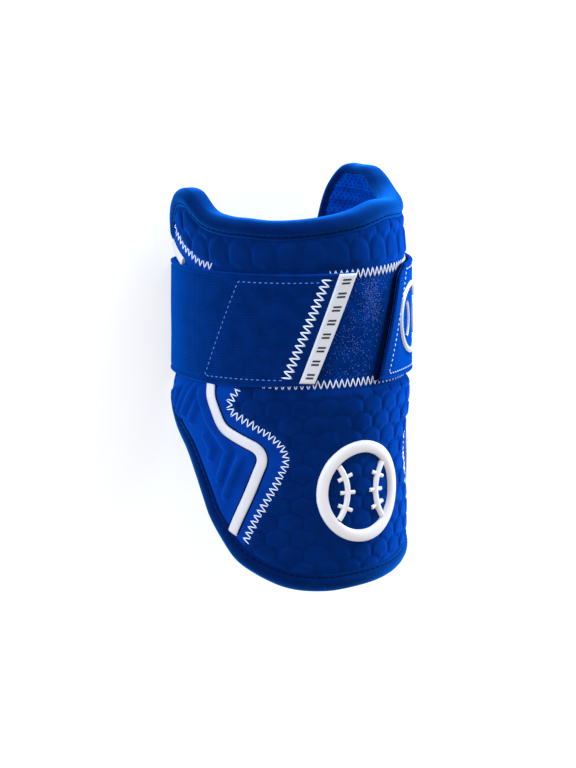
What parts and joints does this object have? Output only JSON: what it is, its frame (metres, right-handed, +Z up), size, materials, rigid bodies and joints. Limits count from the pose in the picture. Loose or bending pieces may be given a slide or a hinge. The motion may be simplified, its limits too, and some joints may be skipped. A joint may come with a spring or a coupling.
{
  "type": "sports protective gear",
  "caption": "Baseball elbow guard: C-shaped padded cuff in royal blue with fish-scale relief, rolled binding, white trims and a wide elastic strap with a hook flap.",
  "frame": {"origin": "middle of the overall box, on the plane that the guard rests on", "axes": "+Z up, out of the guard's front; +X along the arm towards the lower end; +Y to the right of a viewer who looks at the front with the upper end up"},
  "size_m": [0.1842, 0.11, 0.0936],
  "materials": {
    "padding": "matt foam core",
    "binding": "smooth knit tape",
    "lining": "ribbed mesh",
    "front_fabric": "moulded stretch fabric",
    "loop_fabric": "brushed loop fabric",
    "side_fabric": "smooth moulded fabric",
    "white_film": "raised matt film",
    "elastic": "woven elastic",
    "label": "satin film",
    "silver_film": "satin silver film"
  },
  "bodies": {
    "root": {"padded_shell": "padding", "edge_binding": "binding", "liner": "lining", "front_panel_lower": "front_fabric", "front_panel_upper": "front_fabric", "loop_patch": "loop_fabric", "side_panel_left": "side_fabric", "side_panel_right": "side_fabric", "stripe_left": "white_film", "stripe_right": "white_film", "stripe_left_upper": "white_film", "stripe_right_upper": "white_film", "strap": "elastic", "hook_tab": "loop_fabric", "strap_label": "label", "front_emblem": "white_film", "flap_emblem": "silver_film"}
  },
  "joints": []
}
